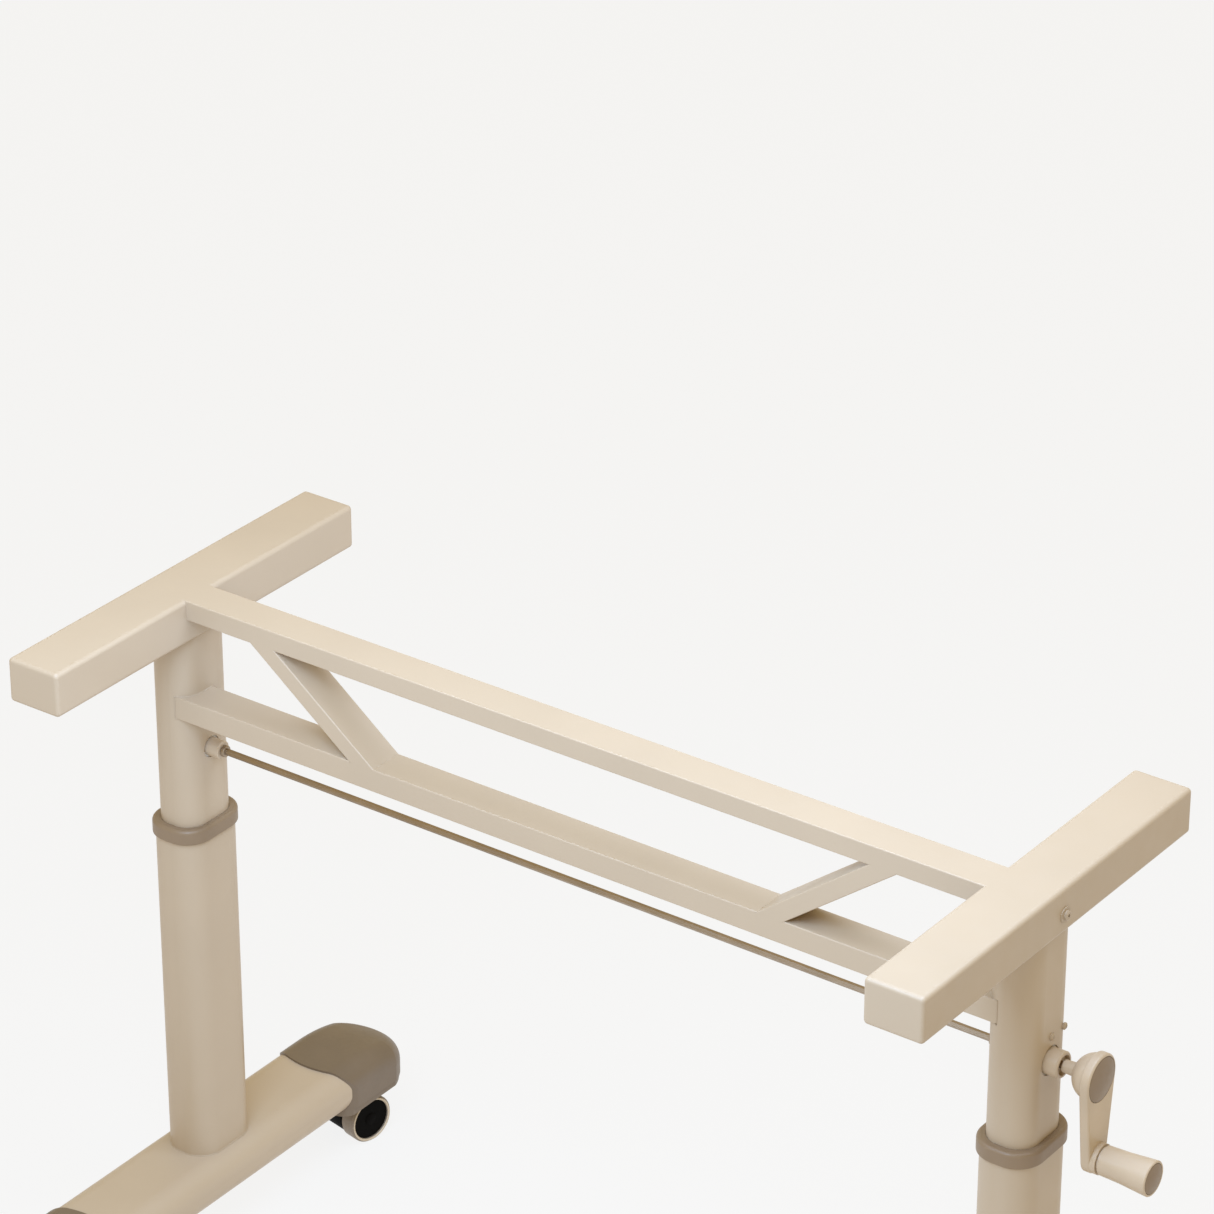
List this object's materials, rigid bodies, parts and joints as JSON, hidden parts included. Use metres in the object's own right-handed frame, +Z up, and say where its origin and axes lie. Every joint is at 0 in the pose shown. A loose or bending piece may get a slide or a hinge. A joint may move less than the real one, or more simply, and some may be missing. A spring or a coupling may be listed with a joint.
{
  "type": "height-adjustable table frame",
  "caption": "Crank-driven, height-adjustable table frame: telescopic oval legs on castor feet, flat bars for a tabletop, braced crossbars, drive shaft and side crank.",
  "frame": {"origin": "on the floor, in the middle of the space that the whole frame takes, crank included", "axes": "+X along the crossbars to the crank, +Y to the rear, +Z up"},
  "size_m": [1.1684, 0.606, 0.76],
  "materials": {
    "cream_paint": "satin powder coat",
    "taupe_plastic": "matte moulded plastic",
    "cap_plastic": "matte moulded plastic",
    "cream_plastic": "satin moulded plastic",
    "tyre_plastic": "matte tread",
    "black_plastic": "satin moulded plastic",
    "plated_steel": "zinc plated and drawn",
    "bolt_steel": "painted to match the frame",
    "white_nylon": "matte moulded plastic",
    "bronze": "machined bronze"
  },
  "bodies": {
    "top_frame": {"left_top_bar": "cream_paint", "right_top_bar": "cream_paint", "bar_end_plates": "cream_paint", "upper_crossbar": "cream_paint", "lower_crossbar": "cream_paint", "left_brace": "cream_paint", "right_brace": "cream_paint", "left_inner_tube": "cream_paint", "right_inner_tube": "cream_paint", "head_brackets": "plated_steel", "bar_bolts": "bolt_steel", "gearbox_screws": "bolt_steel", "lower_glides": "white_nylon", "gear_housings": "white_nylon", "shaft_bushings": "cream_plastic", "crank_bushing": "cream_plastic"},
    "left_base": {"left_outer_tube": "cream_paint", "left_foot_tube": "cream_paint", "left_collar": "taupe_plastic", "left_front_foot_cap": "cap_plastic", "left_rear_foot_cap": "cap_plastic", "left_nut_tube": "plated_steel", "left_foot_bolts": "plated_steel", "left_screw_nut": "bronze"},
    "right_base": {"right_outer_tube": "cream_paint", "right_foot_tube": "cream_paint", "right_collar": "taupe_plastic", "right_front_foot_cap": "cap_plastic", "right_rear_foot_cap": "cap_plastic", "right_nut_tube": "plated_steel", "right_foot_bolts": "plated_steel", "right_screw_nut": "bronze"},
    "drive_line": {"drive_shaft": "plated_steel", "shaft_rings": "plated_steel", "drive_gears": "plated_steel", "grip_pin": "plated_steel", "crank_arm": "cream_plastic", "crank_disc": "taupe_plastic"},
    "left_screw": {"left_lead_screw": "plated_steel", "left_driven_gear": "plated_steel"},
    "right_screw": {"right_lead_screw": "plated_steel", "right_driven_gear": "plated_steel"},
    "crank_grip": {"grip": "cream_plastic", "grip_cap": "taupe_plastic"},
    "left_front_castor_swivel": {"left_front_castor_body": "black_plastic"},
    "left_front_castor_wheels": {"left_front_castor_axle": "plated_steel", "left_front_castor_tyres": "tyre_plastic", "left_front_castor_discs": "black_plastic"},
    "left_rear_castor_swivel": {"left_rear_castor_body": "black_plastic"},
    "left_rear_castor_wheels": {"left_rear_castor_axle": "plated_steel", "left_rear_castor_tyres": "tyre_plastic", "left_rear_castor_discs": "black_plastic"},
    "right_front_castor_swivel": {"right_front_castor_body": "black_plastic"},
    "right_front_castor_wheels": {"right_front_castor_axle": "plated_steel", "right_front_castor_tyres": "tyre_plastic", "right_front_castor_discs": "black_plastic"},
    "right_rear_castor_swivel": {"right_rear_castor_body": "black_plastic"},
    "right_rear_castor_wheels": {"right_rear_castor_axle": "plated_steel", "right_rear_castor_tyres": "tyre_plastic", "right_rear_castor_discs": "black_plastic"}
  },
  "joints": [
    {"name": "crank_turn", "type": "hinge", "parent": "top_frame", "child": "drive_line", "pos_m": [0.4448, 0.015, 0.581], "axis": [-1, 0, 0], "range_deg": [-4320, 13680]},
    {"name": "grip_spin", "type": "hinge", "parent": "drive_line", "child": "crank_grip", "pos_m": [0.5548, 0.015, 0.498], "axis": [1, 0, 0], "continuous": true},
    {"name": "left_leg_slide", "type": "slide", "parent": "top_frame", "child": "left_base", "axis": [0, 0, -1], "range_m": [-0.0601, 0.1901]},
    {"name": "left_screw_turn", "type": "hinge", "parent": "top_frame", "child": "left_screw", "pos_m": [-0.5332, 0.015, 0.5], "axis": [0, 0, 1], "range_deg": [-4325, 13685]},
    {"name": "left_front_castor_turn", "type": "hinge", "parent": "left_base", "child": "left_front_castor_swivel", "pos_m": [-0.5332, -0.226, 0.08], "axis": [0, 0, 1], "continuous": true},
    {"name": "left_front_castor_roll", "type": "hinge", "parent": "left_front_castor_swivel", "child": "left_front_castor_wheels", "pos_m": [-0.53011, -0.21081, 0.027], "axis": [0.9799, -0.1994, 0], "continuous": true},
    {"name": "left_rear_castor_turn", "type": "hinge", "parent": "left_base", "child": "left_rear_castor_swivel", "pos_m": [-0.5332, 0.226, 0.08], "axis": [0, 0, 1], "continuous": true},
    {"name": "left_rear_castor_roll", "type": "hinge", "parent": "left_rear_castor_swivel", "child": "left_rear_castor_wheels", "pos_m": [-0.53011, 0.24119, 0.027], "axis": [0.9799, -0.1994, 0], "continuous": true},
    {"name": "right_leg_slide", "type": "slide", "parent": "top_frame", "child": "right_base", "axis": [0, 0, -1], "range_m": [-0.0601, 0.1901]},
    {"name": "right_screw_turn", "type": "hinge", "parent": "top_frame", "child": "right_screw", "pos_m": [0.4448, 0.015, 0.5], "axis": [0, 0, 1], "range_deg": [-4325, 13685]},
    {"name": "right_front_castor_turn", "type": "hinge", "parent": "right_base", "child": "right_front_castor_swivel", "pos_m": [0.4448, -0.226, 0.08], "axis": [0, 0, 1], "continuous": true},
    {"name": "right_front_castor_roll", "type": "hinge", "parent": "right_front_castor_swivel", "child": "right_front_castor_wheels", "pos_m": [0.44789, -0.21081, 0.027], "axis": [0.9799, -0.1994, 0], "continuous": true},
    {"name": "right_rear_castor_turn", "type": "hinge", "parent": "right_base", "child": "right_rear_castor_swivel", "pos_m": [0.4448, 0.226, 0.08], "axis": [0, 0, 1], "continuous": true},
    {"name": "right_rear_castor_roll", "type": "hinge", "parent": "right_rear_castor_swivel", "child": "right_rear_castor_wheels", "pos_m": [0.44789, 0.24119, 0.027], "axis": [0.9799, -0.1994, 0], "continuous": true}
  ],
  "couplings": [
    {"joint": "left_leg_slide", "follows": "crank_turn", "m_per_rad": 0.00079577},
    {"joint": "left_screw_turn", "follows": "crank_turn", "ratio": 1},
    {"joint": "right_leg_slide", "follows": "crank_turn", "m_per_rad": 0.00079577},
    {"joint": "right_screw_turn", "follows": "crank_turn", "ratio": 1}
  ]
}
